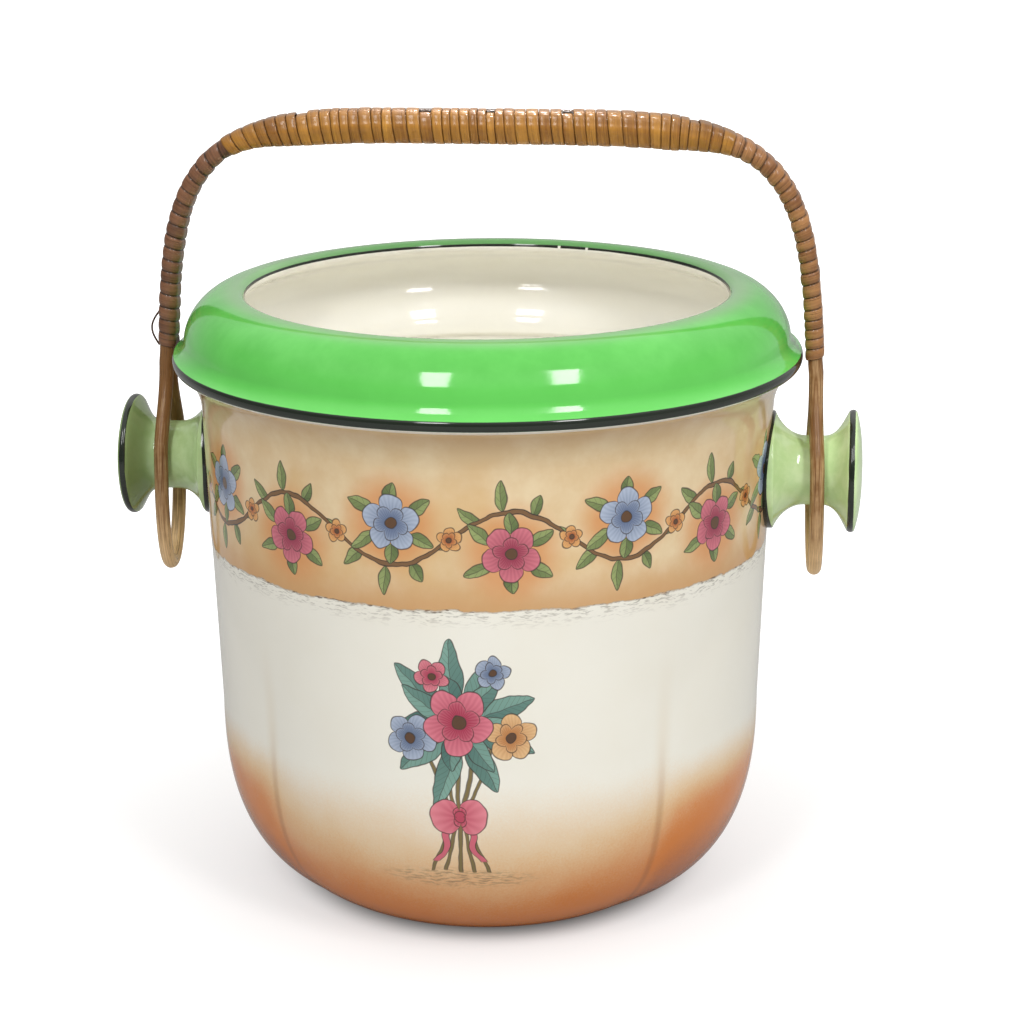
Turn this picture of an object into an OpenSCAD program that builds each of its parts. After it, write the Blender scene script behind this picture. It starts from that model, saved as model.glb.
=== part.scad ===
// Slop jar: a lobed earthenware pail with an overhanging collar, two spool
// knobs and a cane bail that swings on them.
// Origin at the centre of the foot, +Z up, knobs along X, millimetres.

/* [Jar body] */
// Height of the jar to the top of its rim
rim_height = 274.2; // [250:0.2:300]
// Outside diameter at the luted joint between the body and the collar
neck_d = 255.4; // [250:0.2:262]
// From that joint down to where the wall starts to flare into the neck
flare_height = 24; // [16:1:36]
// Outside diameter at that height
shoulder_d = 254; // [242:1:255]
// Height where the wall turns into the foot curve
waist_height = 87; // [60:1:98]
// Outside diameter at that height
waist_d = 245.4; // [225:0.2:249]
// Diameter of the flat foot
foot_d = 116.4; // [100:0.2:160]
// Thickness of the wall
wall = 6.5; // [5.5:0.5:9]
// Thickness of the floor
floor_t = 7; // [5:0.5:12]
// Depth of the hollow inside the foot ring
foot_hollow = 2.5; // [1:0.5:4]
// Width of the foot ring
foot_ring_w = 12; // [8:0.5:25]
// Sideways shift of each of the four lobes from the jar's axis
lobe_shift = 9; // [5:0.5:12]
// Height where the grooves between the lobes start to fade
groove_low = 104; // [99:1:125]
// From the start of the flare down to where the grooves have gone
groove_stop = 35; // [20:1:50]

/* [Collar] */
// Diameter over the collar's lip
collar_d = 280; // [272:1:300]
// Diameter of the mouth
mouth_d = 214; // [190:1:222]
// From the mouth's edge out to the top of the rim
rim_round = 3.9; // [3:0.1:8]
// Height of the collar, from the luted joint to the rim
collar_height = 50.2; // [44:0.2:56]
// From the rim down to the widest point of the lip
lip_drop = 29.6; // [24:0.2:32]
// How far the foot of the collar's crown stands in from the lip
crown_in = 5.5; // [5:0.1:10]
// How far the foot of the crown stands above the lip
crown_up = 9; // [7:0.5:12]
// Diameter of the hollow inside the collar
hollow_d = 260; // [248:1:262]
// Diameter inside the bead at the luted joint
bead_d = 237; // [228:1:240]

/* [Knobs] */
// From the luted joint down to the knobs' common axis
knob_drop = 31; // [28:0.5:40]
// Diameter of the knob's neck, where the bail hangs
knob_neck_d = 31; // [24:0.5:36]
// Diameter of the knob's outer flange
knob_flange_d = 54.6; // [46:0.2:60]
// Diameter of the knob's foot on the wall
knob_foot_d = 52.6; // [42:0.2:56]
// How far the foot stands out of the wall
knob_foot_lip = 1.5; // [1:0.5:6]
// From the bail's loop out to the widest point of the flange
knob_flange_out = 17; // [13:0.5:20]
// From the widest point of the flange to the domed end
knob_dome = 4.5; // [3:0.5:10]

/* [Bail] */
// Diameter of the cane rods
cane_d = 6.4; // [5:0.2:7.6]
// Diameter of the filler canes where they are thickest
filler_d = 5.2; // [4:0.2:6]
// Height of the arch's spring above the knobs' axis
spring_up = 32; // [28:0.5:40]
// Rise of the arch from its spring to the bow's top
bow_rise = 121.7; // [112:0.1:140]
// How much narrower the arch is at its top, as a share of its width
bow_taper = 0.065; // [0:0.005:0.08]
// From the knobs' axis down to the lowest point of the left loop
left_loop_drop = 51; // [40:0.5:56]
// From the knobs' axis down to the lowest point of the right loop
right_loop_drop = 45; // [40:0.5:56]
// Clearance between a loop and the knob's neck
loop_clear = 0.6; // [0.4:0.1:2]
// How far the loops lean out from the legs at the knobs' axis
loop_lean = 1.8; // [0:0.1:2]
// Clearance between the wrapped legs and the collar's lip
leg_clear = 1.4; // [1.4:0.1:6]

/* [Bindings] */
// Thickness of the binding cane
strip_t = 1; // [0.8:0.1:1.5]
// Gap between one turn and the next at the top of the arch
turn_gap = 0.9; // [0.6:0.05:1]
// Turns of the grip binding
grip_turns = 24; // [12:1:24]
// Turns of the left leg binding
left_turns = 22; // [12:1:24]
// Turns of the right leg binding
right_turns = 24; // [12:1:24]
// Height of the leg bindings' lower ends above the arch's spring
wrap_up = 17; // [10:0.5:24]
// Width of the leader strip along the grip
leader_w = 5; // [3:0.5:6]
// Thickness of the leader strip
leader_t = 0.8; // [0.5:0.1:1]
// Diameter of the loose binding end
tail_d = 0.9; // [0.8:0.1:1.4]
// How far the loose end bows out from the leg
tail_bow = 2.4; // [1:0.2:4]

/* [Hidden] */
$fn = 96;

neck_height = rim_height - collar_height;
lip_height = rim_height - lip_drop;
shoulder_height = neck_height - flare_height;
groove_top = shoulder_height - groove_stop;
knob_height = neck_height - knob_drop;
neck_r = neck_d / 2;
shoulder_r = shoulder_d / 2;
waist_r = waist_d / 2;
foot_r = foot_d / 2;
collar_r = collar_d / 2;
mouth_r = mouth_d / 2;
knob_neck_r = knob_neck_d / 2;
knob_flange_r = knob_flange_d / 2;
knob_foot_r = knob_foot_d / 2;
cane_r = cane_d / 2;
filler_r = filler_d / 2;

// Fullness of the foot curve: 1 is an ellipse, less is squarer
foot_fullness = 0.78;
// Play round a knob's foot in its seat
seat_play = 0.3;
// How much deeper a seat is cut than the curved wall needs
seat_margin = 0.8;
// Gap between canes that lie against each other
lie_gap = 0.25;
// Steps along one curve of an outline
curve_steps = 6;
// Sides of a cane rod
rod_sides = 10;
// Sides of one turn of the grip binding and of a leg binding
grip_sides = 12;
leg_sides = 8;
// Degrees of arch between two rings of the bow, and of a tapered filler
ring_step = 4;
filler_step = 2;
// Arch angles where the fillers start and where they have their full size
fill_from = 40;
fill_full = 56;
// Arch angle where the grip binding takes over from a leg binding
grip_from = 45;
// How far past that angle the last turn of a leg binding reaches
leg_past = 1;
// Half the gap where the bow's two ends meet under the grip, in degrees
butt_half = 0.3;
// Power of the arch's superellipse: 2 is an ellipse, more is squarer
bow_power = 5;

bow_x = collar_r + leg_clear + strip_t + lie_gap + cane_r;
bow_z = knob_height + spring_up;
strand_y = cane_r + lie_gap / 2;
loop_half = knob_neck_r + loop_clear + cane_r;
wrap_from = atan2(wrap_up, bow_x);
mm_per_degree = bow_rise * PI / 180;

// Outline helpers

function bezier(a, b, c, d) = [for (i = [1:curve_steps]) let(t = i / curve_steps, s = 1 - t)
    s * s * s * a + 3 * s * s * t * b + 3 * s * t * t * c + t * t * t * d];

function wall_r(z) = waist_r
    + (shoulder_r - waist_r) * (z - waist_height) / (shoulder_height - waist_height);

// Radius of the crease between two lobes that reach out to r
function crease_r(r) = lobe_shift / sqrt(2) + sqrt(pow(r - lobe_shift, 2) - pow(lobe_shift, 2) / 2);

// Foot curve from the waist at radius r_out down to the floor at height z_in
function foot_curve(r_out, z_in) = [for (a = [90:-7.5:0])
    [foot_r + (r_out - foot_r) * pow(cos(a), foot_fullness),
     waist_height - (waist_height - z_in) * pow(sin(a), foot_fullness)]];

// Jar body: four lobes that merge into a round neck, hollow, with a foot ring

// Neck flare from the shoulder up to the joint
neck_flare = bezier([shoulder_r, shoulder_height],
    [shoulder_r + 0.3, shoulder_height + 8],
    [neck_r - 0.6, neck_height - 8],
    [neck_r, neck_height]);

module lobe() {
    overlap = 3;
    top = groove_top + overlap;
    curve = [for (p = foot_curve(waist_r, 0)) [p[0] - lobe_shift, p[1]]];
    translate([lobe_shift, 0, 0])
        rotate_extrude()
            polygon(concat([[0, 0]], curve, [[wall_r(top) - lobe_shift, top], [0, top]]));
}

module round_core() {
    buried = 20;
    sunk = 8;
    just_under = 0.4;
    proud = 0.2;
    start = groove_low - buried;
    rotate_extrude()
        polygon(concat(
            [[0, start], [crease_r(waist_r) - sunk, start],
             [crease_r(wall_r(groove_low)) - just_under, groove_low],
             [wall_r(groove_top) + proud, groove_top], [shoulder_r, shoulder_height]],
            neck_flare,
            [[0, neck_height]]));
}

module inside() {
    rotate_extrude()
        polygon(concat([[0, floor_t]],
            foot_curve(waist_r - wall, floor_t),
            [[shoulder_r - wall, shoulder_height], [neck_r - wall, neck_height],
             [neck_r - wall, neck_height + 1], [0, neck_height + 1]]));
}

// Flat seat that a knob is luted on
seat_x = lobe_shift + sqrt(pow(wall_r(knob_height) - lobe_shift, 2) - pow(knob_foot_r, 2)) - seat_margin;

module jar_body() {
    color("ivory")
        difference() {
            union() {
                for (a = [0:90:270])
                    rotate(a) lobe();
                round_core();
            }
            inside();
            translate([0, 0, -1])
                cylinder(r = foot_r - foot_ring_w, h = foot_hollow + 1);
            for (side = [0, 180])
                rotate(side)
                    translate([seat_x, 0, knob_height])
                        rotate([0, 90, 0])
                            cylinder(r = knob_foot_r + seat_play, h = shoulder_r - seat_x + 5);
        }
}

// Collar: a thick ring, from the neck out to the lip, over the crown and the
// rim, and down an inside that is hollowed under the rim and slopes to a bead at the joint

module rim_collar() {
    neck_out = [neck_r, neck_height];
    lip_low = [collar_r - 1.4, lip_height - 2.6];
    lip_top = [collar_r - 0.6, lip_height + 2.2];
    crown_foot = [collar_r - crown_in, lip_height + crown_up];
    crest = [mouth_r + rim_round, rim_height];
    mouth_edge = [mouth_r, rim_height - 3.4];
    hollow = [hollow_d / 2, lip_height + 6];
    bead = [bead_d / 2, neck_height + 3];
    neck_in = [neck_r - wall, neck_height];
    color("limegreen")
        rotate_extrude()
            polygon(concat([neck_out],
                bezier(neck_out, neck_out + [0.5, 8], lip_low - [5.6, 2], lip_low),
                bezier(lip_low, [collar_r + 0.1, lip_low[1] + 0.5],
                    [collar_r + 0.4, lip_height + 1], lip_top),
                bezier(lip_top, lip_top + [-2.4, 1], crown_foot + [0.4, -3], crown_foot),
                bezier(crown_foot, crown_foot + [-0.5, 8], crest + [15.4, 0], crest),
                bezier(crest, crest - [rim_round / 2, 0], mouth_edge + [0, 2], mouth_edge),
                bezier(mouth_edge, mouth_edge - [0, 6], hollow + [0, 14], hollow),
                bezier(hollow, hollow - [0, 6], bead + [0, 9], bead),
                bezier(bead, bead - [0, 1.5], neck_in + [-1, 1], neck_in)));
}

// Knobs: turned spools on the jar's sides, each with a straight neck for the bail

module knob() {
    foot_out = wall_r(knob_height) + knob_foot_lip;
    neck_half = cane_r + 0.9;
    flange_at = bow_x + knob_flange_out;
    end_at = flange_at + knob_dome;
    foot_edge = [knob_foot_r, foot_out];
    neck_start = [knob_neck_r, bow_x - neck_half];
    neck_end = [knob_neck_r, bow_x + neck_half];
    flange_in = [knob_flange_r - 0.9, flange_at - 2];
    flange_out = [knob_flange_r - 1, flange_at + 1.6];
    translate([0, 0, knob_height])
        rotate([0, 90, 0])
            rotate_extrude()
                polygon(concat([[0, seat_x], [knob_foot_r, seat_x], foot_edge],
                    bezier(foot_edge, foot_edge + [-4.5, 2], neck_start - [0, 7], neck_start),
                    [neck_end],
                    bezier(neck_end, neck_end + [0, 5.5], flange_in - [6, 3.2], flange_in),
                    bezier(flange_in, [knob_flange_r + 0.3, flange_at - 1],
                        [knob_flange_r + 0.3, flange_at + 0.8], flange_out),
                    bezier(flange_out, [knob_flange_r * 0.7, end_at - 0.6], [knob_flange_r * 0.35, end_at],
                        [0, end_at])));
}

module right_knob() {
    color("yellowgreen") knob();
}

module left_knob() {
    color("yellowgreen") mirror([1, 0, 0]) knob();
}

// The bail's arch is a superellipse in the XZ plane that narrows towards its top,
// run through by an angle f: 0 at the right spring, 90 at the top, 180 at the left

function unit(v) = v / norm(v);
function bow_at(f) =
    let(across = pow(abs(cos(f)) / bow_x, bow_power),
        upward = pow(abs(sin(f)) / bow_rise, bow_power),
        r = pow(across + upward, -1 / bow_power),
        up = max(0, r * sin(f) / bow_rise))
    [r * cos(f) * (1 - bow_taper * pow(up, 1.5)), 0, bow_z + r * sin(f)];
function bow_tangent(f) = unit(bow_at(f + 0.05) - bow_at(f - 0.05));
function bow_normal(f) = let(t = bow_tangent(f)) [t[2], 0, -t[0]];
function smooth(t) = let(c = max(0, min(1, t))) c * c * (3 - 2 * c);

// Share of its full size that a filler has at f
function fill(f) = smooth((min(f, 180 - f) - fill_from) / (fill_full - fill_from));

// Outer and inner limits of the bundle of canes, measured outward from the bow
function bundle_out(f) = cane_r + fill(f) * (leader_t + lie_gap);
function bundle_in(f) = -(cane_r + lie_gap + 2 * fill(f) * filler_r);

// Closed solid through rings of equally many points, right-handed about the way they run
module sweep(rings) {
    m = len(rings[0]);
    last = (len(rings) - 1) * m;
    sides = [for (i = [0:len(rings) - 2], j = [0:m - 1])
        let(a = i * m + j, b = i * m + (j + 1) % m)
        each [[a, b + m, b], [a, a + m, b + m]]];
    caps = [for (j = [1:m - 2]) each [[0, j, j + 1], [last, last + j + 1, last + j]]];
    polyhedron([for (ring = rings) each ring], concat(sides, caps));
}

function rod_ring(centre, e1, e2, r, sides) =
    [for (j = [0:sides - 1]) centre + r * (cos(360 * j / sides) * e1 + sin(360 * j / sides) * e2)];

// Bow cane: one rod, from its butt in the grip down the front of the left leg,
// round the left knob, back over the arch, round the right knob and up again

function strand_ring(f, side) =
    rod_ring(bow_at(f) + [0, side * strand_y, 0], [0, -side, 0], -bow_normal(f), cane_r, rod_sides);

function strand(from, to, side) =
    let(n = ceil(abs(to - from) / ring_step))
    [for (i = [0:n]) strand_ring(from + (to - from) * i / n, side)];

// Half a loop as [out, across, up], from under the leg binding down to its lowest point
function loop_half_points(drop) =
    let(hidden_end = 3,
        wide_up = 4,
        wide_down = 10,
        z_top = bow_z + wrap_up - hidden_end,
        z_wide = knob_height + wide_up)
    concat(
        [for (i = [1:8]) let(t = i / 8)
            [bow_x + loop_lean * smooth(t),
             strand_y + (loop_half - strand_y) * smooth(pow(t, 1.3)),
             z_top + (z_wide - z_top) * t]],
        [for (a = [0:15:90])
            [bow_x + loop_lean,
             loop_half * cos(a),
             knob_height - wide_down - (drop - wide_down) * sin(a)]]);

// Loop at side x (-1 left, 1 right), run from its strand at y side "from" to the other
function loop_rings(x, from) =
    let(half = loop_half_points(x < 0 ? left_loop_drop : right_loop_drop),
        n = len(half),
        path = concat(
            [for (p = half) [x * p[0], from * p[1], p[2]]],
            [for (i = [n - 2:-1:0]) [x * half[i][0], -from * half[i][1], half[i][2]]]),
        e2 = [-x, 0, 0])
    [for (i = [0:len(path) - 1])
        let(t = unit(path[min(i + 1, len(path) - 1)] - path[max(i - 1, 0)]),
            way = i == 0 ? [0, 0, -1] : i == len(path) - 1 ? [0, 0, 1] : t)
        rod_ring(path[i], cross(e2, way), e2, cane_r, rod_sides)];

module bow_cane() {
    leg = wrap_from;
    color("peru")
        sweep(concat(
            strand(90 + butt_half, 180 - leg, -1),
            loop_rings(-1, -1),
            strand(180 - leg, leg, 1),
            loop_rings(1, 1),
            strand(leg, 90 - butt_half, -1)));
}

// Filler canes: tapered rods under the bow's two strands, from bend to bend

module filler_cane(side) {
    thin = fill_from + 3;
    steps = ceil((180 - 2 * thin) / filler_step);
    rings = [for (i = [0:steps])
        let(f = thin + (180 - 2 * thin) * i / steps,
            r = filler_r * fill(f),
            below = cane_r + lie_gap + r)
        rod_ring(bow_at(f) - below * bow_normal(f) + [0, side * strand_y, 0],
            [0, 1, 0], -bow_normal(f), r, rod_sides)];
    color("peru") sweep(rings);
}

module front_filler_cane() { filler_cane(-1); }

module back_filler_cane() { filler_cane(1); }

// Grip leader: a flat strip on top of the bow's strands, under the binding

module grip_leader() {
    low = cane_r + lie_gap;
    rings = [for (f = [fill_full:ring_step:180 - fill_full])
        [for (q = [[-1, 1], [1, 1], [1, 0], [-1, 0]])
            bow_at(f) + (low + q[1] * (leader_t - lie_gap)) * bow_normal(f) + [0, q[0] * leader_w / 2, 0]]];
    color("saddlebrown") sweep(rings);
}

// Bindings: each one strip wound round the bundle of canes. The corners of a
// turn lie on lines that touch the bundle's rounded outline, lie_gap clear of it

function strip_point(f, a, rise, sides) =
    let(middle = (bundle_out(f) + bundle_in(f)) / 2,
        flat = (bundle_out(f) - bundle_in(f)) / 2 - cane_r,
        corner = (cane_r + lie_gap + rise) / cos(180 / sides),
        out = middle + flat * sign(sin(a)) + corner * sin(a))
    bow_at(f) + out * bow_normal(f) + [0, strand_y * sign(cos(a)) + corner * cos(a), 0];

// Outline of the strip, across and up, in half widths and thicknesses
strip_outline = [[-1, 0], [-1, 0.6], [-0.5, 1], [0.5, 1], [1, 0.6], [1, 0]];

// Rings of a strip wound from one arch angle to another, starting at the turn angle given
function strip_rings(from, to, turns, sides, start) =
    let(pitch = (to - from) / turns,
        half = (pitch - turn_gap / mm_per_degree) / 2)
    [for (i = [0:turns * sides])
        [for (q = strip_outline)
            strip_point(from + half + (to - from - 2 * half) * i / (turns * sides) + q[0] * half,
                start + 360 * i / sides, q[1] * strip_t, sides)]];

// Least distance between the points of one turn and those of the next
function turn_clearance(rings, sides) =
    min([for (i = [0:len(rings) - sides - 1], k = [-1:1])
        if (i + sides + k < len(rings))
            each [for (p = rings[i]) min([for (q = rings[i + sides + k]) norm(p - q)])]]);

module binding(label, from, to, turns, sides, start) {
    rings = strip_rings(from, to, turns, sides, start);
    echo(str(label, ": least gap to itself ", turn_clearance(rings, sides), " mm"));
    sweep(rings);
}

module grip_binding() {
    color("goldenrod")
        binding("grip_binding", grip_from, 180 - grip_from, grip_turns, grip_sides, 180 / grip_sides);
}

module left_leg_binding() {
    color("sienna")
        binding("left_leg_binding", 180 - grip_from - leg_past, 180 - wrap_from, left_turns,
            leg_sides, 180 / leg_sides);
}

module right_leg_binding() {
    color("chocolate")
        binding("right_leg_binding", wrap_from, grip_from + leg_past, right_turns,
            leg_sides, -180 / leg_sides);
}

// Loose end of the left binding: a thin strand that bows out beside the leg

module left_binding_tail() {
    turn = (grip_from + leg_past - wrap_from) / left_turns;
    low = 180 - wrap_from - 0.4 * turn;
    high = low - 3.4 * turn;
    steps = 10;
    base = cane_r + 2 * lie_gap + strip_t + lie_gap + tail_d / 2;
    function tail_at(i) = let(f = low + (high - low) * i / steps)
        bow_at(f) + (base + tail_bow * sin(180 * i / steps)) * bow_normal(f);
    rings = [for (i = [0:steps])
        let(t = unit(tail_at(i + 0.1) - tail_at(i - 0.1)))
        rod_ring(tail_at(i), [0, 1, 0], cross(t, [0, 1, 0]), tail_d / 2, 6)];
    color("saddlebrown") sweep(rings);
}

jar_body();
rim_collar();
left_knob();
right_knob();
bow_cane();
front_filler_cane();
back_filler_cane();
grip_leader();
grip_binding();
left_leg_binding();
right_leg_binding();
left_binding_tail();
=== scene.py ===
import math
import random

import bmesh
import bpy
import numpy as np
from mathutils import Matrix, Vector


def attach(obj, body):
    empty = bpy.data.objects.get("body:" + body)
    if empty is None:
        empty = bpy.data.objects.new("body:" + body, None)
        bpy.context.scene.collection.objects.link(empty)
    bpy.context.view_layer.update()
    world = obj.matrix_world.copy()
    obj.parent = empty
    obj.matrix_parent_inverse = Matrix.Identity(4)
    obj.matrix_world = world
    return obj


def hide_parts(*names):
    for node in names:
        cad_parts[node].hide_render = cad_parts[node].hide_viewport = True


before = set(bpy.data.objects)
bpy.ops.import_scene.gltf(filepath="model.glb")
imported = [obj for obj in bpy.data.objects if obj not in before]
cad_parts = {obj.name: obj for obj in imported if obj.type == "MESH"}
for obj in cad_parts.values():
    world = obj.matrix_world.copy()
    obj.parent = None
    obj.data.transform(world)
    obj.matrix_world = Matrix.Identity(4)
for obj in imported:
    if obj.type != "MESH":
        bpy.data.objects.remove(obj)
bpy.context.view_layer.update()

# Jar body: the ivory earthenware pail, cast in four shallow lobes that merge into a round neck,
# with a foot ring. A tan frieze of painted briar runs under the collar, a posy stands on the front
# and on the back, and the foot is sprayed red-brown, all under one clear gloss glaze.
MM = 0.001  # sizes are in millimetres of the frame, and meshes are made in metres
neck_height = 224.0
neck_r = 127.7
shoulder_height = 200.0
shoulder_r = 127.0
waist_height = 87.0
waist_r = 122.7
foot_r = 58.2
foot_ring_w = 12.0
foot_hollow = 2.5
foot_fullness = 0.78
wall = 6.5
floor_t = 7.0
lobe_shift = 9.0
groove_low = 104.0
groove_top = 165.0
body_columns = 360
crease_softness = 0.35
sharp_from = 48.0


def bezier(a, b, c, d, steps):
    """Points of a cubic curve after its first one."""
    a, b, c, d = (np.array(p, float) for p in (a, b, c, d))
    points = []
    for i in range(1, steps + 1):
        t = i / steps
        s = 1 - t
        points.append(s ** 3 * a + 3 * s ** 2 * t * b + 3 * s * t * t * c + t ** 3 * d)
    return points


def line(a, b, steps):
    """Points of a straight stretch after its first one."""
    a, b = np.array(a, float), np.array(b, float)
    return [a + (b - a) * i / steps for i in range(1, steps + 1)]


def add_object(name, data):
    """Puts a mesh, a light or a camera in the scene."""
    made = bpy.data.objects.new(name, data)
    bpy.context.scene.collection.objects.link(made)
    return made


def add_piece(name, points, faces, **values):
    """A smooth closed mesh from points in millimetres, with a named value at each point."""
    mesh = bpy.data.meshes.new(name)
    mesh.from_pydata((np.array(points, float) * MM).tolist(), [], faces)
    for label, numbers in values.items():
        kept = mesh.attributes.new(label, "FLOAT", "POINT")
        kept.data.foreach_set("value", np.array(numbers, np.float32))
    shape = bmesh.new()
    shape.from_mesh(mesh)
    bmesh.ops.recalc_face_normals(shape, faces=shape.faces)
    shape.to_mesh(mesh)
    shape.free()
    mesh.shade_smooth()
    mesh.set_sharp_from_angle(angle=math.radians(sharp_from))
    return add_object(name, mesh)


def run_length(path):
    """Distance along a path at each of its points."""
    steps = np.linalg.norm(np.diff(np.array(path, float), axis=0), axis=1)
    return np.concatenate([[0.0], np.cumsum(steps)])


def revolve(name, outline, columns, reach=None, place=None, closed=False):
    """Turns an outline of (radius, height) about Z. Radius 0 is a pole; reach reshapes a ring."""
    angles = np.arange(columns) * 2 * math.pi / columns
    along = run_length(outline)
    points, faces, rings, where = [], [], [], []
    for row, (r, z) in enumerate(outline):
        if r < 1e-6:
            rings.append([len(points)] * columns)
            points.append((0.0, 0.0, z))
            where.append(along[row])
            continue
        radii = np.full(columns, r) if reach is None else reach(row, r, z, angles)
        rings.append(list(range(len(points), len(points) + columns)))
        points += [(q * math.cos(a), q * math.sin(a), z) for q, a in zip(radii, angles)]
        where += [along[row]] * columns
    pairs = list(zip(rings, rings[1:])) + ([(rings[-1], rings[0])] if closed else [])
    for low, high in pairs:
        for j in range(columns):
            k = (j + 1) % columns
            corners = [low[j], low[k], high[k], high[j]]
            faces.append(list(dict.fromkeys(corners)))
    if place:
        points = [place(*p) for p in points]
    return add_piece(name, points, faces, outline_mm=where)


def foot_curve(r_out, z_in, steps):
    """The round of the foot, from the floor up to the waist."""
    turns = [math.radians(90 - 90 * i / steps) for i in range(steps + 1)]
    return [(foot_r + (r_out - foot_r) * abs(math.cos(a)) ** foot_fullness,
             waist_height - (waist_height - z_in) * math.sin(a) ** foot_fullness) for a in turns]


def wall_r(z):
    return waist_r + (shoulder_r - waist_r) * (z - waist_height) / (shoulder_height - waist_height)


def lobe_reach(r, a):
    """Radius of a lobe that reaches out to r, at an angle a from its middle."""
    return lobe_shift * np.cos(a) + np.sqrt((r - lobe_shift) ** 2 - (lobe_shift * np.sin(a)) ** 2)


def soft_max(a, b, softness):
    near = np.maximum(softness - np.abs(a - b), 0.0) / softness
    return np.maximum(a, b) + near * near * softness / 4


flare = bezier((shoulder_r, shoulder_height), (shoulder_r + 0.3, shoulder_height + 8),
               (neck_r - 0.6, neck_height - 8), (neck_r, neck_height), 10)
ring_in = foot_r - foot_ring_w
under_foot = [(0.0, foot_hollow), (ring_in - 1, foot_hollow), (ring_in, foot_hollow - 0.8),
              (ring_in + 0.6, 0.3), (ring_in + 1.8, 0.0)]
outer_wall = foot_curve(waist_r, 0.0, 30)
outer_wall += line((waist_r, waist_height), (shoulder_r, shoulder_height), 26) + flare
inner_wall = [(neck_r - wall, neck_height), (shoulder_r - wall, shoulder_height)]
inner_wall += line((shoulder_r - wall, shoulder_height), (waist_r - wall, waist_height), 8)
inner_wall += foot_curve(waist_r - wall, floor_t, 20)[-2::-1]
inner_wall += [(foot_r / 2, floor_t), (0.0, floor_t)]
body_outline = under_foot + outer_wall + inner_wall
outer_rows = range(len(under_foot), len(under_foot) + len(outer_wall))


def lobed(row, r, z, angles):
    """The outer wall's rings have four lobes with soft creases, which end below the shoulder."""
    if row not in outer_rows or z >= groove_top:
        return np.full(len(angles), r)
    off = np.abs((angles + math.pi / 4) % (math.pi / 2) - math.pi / 4)
    reach = soft_max(lobe_reach(r, off), lobe_reach(r, math.pi / 2 - off), crease_softness)
    if z > groove_low:
        share = (z - groove_low) / (groove_top - groove_low)
        low = lobe_reach(wall_r(groove_low), math.pi / 4)
        shallow = low + share * (wall_r(groove_top) - low)
        reach = soft_max(reach, np.full(len(angles), shallow), crease_softness)
    return np.minimum(reach, r + 0.05)


pail = revolve("pail_body", body_outline, body_columns, lobed)


class Field:
    """A value that varies over a surface. Arithmetic on it adds Math nodes to its node tree."""

    def __init__(self, tree, socket):
        self.tree = tree
        self.socket = socket

    def math(self, operation, *others):
        made = self.tree.nodes.new("ShaderNodeMath")
        made.operation = operation
        for slot, value in zip(made.inputs, (self, *others)):
            feed(self.tree, slot, value)
        return Field(self.tree, made.outputs[0])

    def __add__(self, other):
        return self.math("ADD", other)

    def __sub__(self, other):
        return self.math("SUBTRACT", other)

    def __mul__(self, other):
        return self.math("MULTIPLY", other)

    def __truediv__(self, other):
        return self.math("DIVIDE", other)

    def __pow__(self, other):
        return self.math("POWER", other)

    def __mod__(self, other):
        return self.math("FLOORED_MODULO", other)

    def __abs__(self):
        return self.math("ABSOLUTE")

    def from_(self, other):
        """This value taken from the other one."""
        return (self * -1.0) + other

    def step(self, low, high):
        """0 at low and 1 at high, with a smooth rise between them."""
        made = self.tree.nodes.new("ShaderNodeMapRange")
        made.interpolation_type = "SMOOTHSTEP"
        set_inputs(self.tree, made, Value=self, From_Min=low, From_Max=high)
        return Field(self.tree, made.outputs["Result"])


def feed(tree, slot, value):
    """Links a field or a socket to an input, or sets the input to a plain value."""
    source = value.socket if isinstance(value, Field) else value
    if isinstance(source, bpy.types.NodeSocket):
        tree.links.new(source, slot)
    else:
        slot.default_value = source


def set_inputs(tree, node, **values):
    """Feeds a node's inputs by name, with an underscore for each space."""
    for label, value in values.items():
        feed(tree, node.inputs[label.replace("_", " ")], value)


def surface_mm(tree):
    """The place on the piece, in millimetres of the frame."""
    place = tree.nodes.new("ShaderNodeTexCoord")
    scaled = tree.nodes.new("ShaderNodeVectorMath")
    scaled.operation = "SCALE"
    scaled.inputs["Scale"].default_value = 1 / MM
    tree.links.new(place.outputs["Object"], scaled.inputs[0])
    return scaled.outputs[0]


def attribute(tree, label):
    """A value that the mesh carries at its points."""
    made = tree.nodes.new("ShaderNodeAttribute")
    made.attribute_name = label
    return Field(tree, made.outputs["Fac"])


def parts_of(tree, vector):
    """The three numbers of a vector."""
    made = tree.nodes.new("ShaderNodeSeparateXYZ")
    tree.links.new(vector, made.inputs[0])
    return [Field(tree, socket) for socket in made.outputs]


def vector_of(tree, x, y, z):
    made = tree.nodes.new("ShaderNodeCombineXYZ")
    for slot, value in zip(made.inputs, (x, y, z)):
        feed(tree, slot, value)
    return made.outputs[0]


def noise(tree, vector, size, detail=2.0, roughness=0.5):
    """Clouds from 0 to 1 about the given size in the vector's units."""
    made = tree.nodes.new("ShaderNodeTexNoise")
    set_inputs(tree, made, Vector=vector, Scale=1 / size, Detail=detail, Roughness=roughness)
    return Field(tree, made.outputs["Fac"])


def mix(tree, share, under, over, blend="MIX"):
    """A colour laid over another one by a share."""
    made = tree.nodes.new("ShaderNodeMix")
    made.data_type = "RGBA"
    made.blend_type = blend
    feed(tree, made.inputs["Factor"], share)
    feed(tree, made.inputs[6], under)
    feed(tree, made.inputs[7], over)
    return made.outputs[2]


def rgb(red, green, blue):
    """A screen colour from 0 to 255 as the shader's linear colour."""
    parts = [c / 255 for c in (red, green, blue)]
    return (*[c / 12.92 if c <= 0.04045 else ((c + 0.055) / 1.055) ** 2.4 for c in parts], 1.0)


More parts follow.
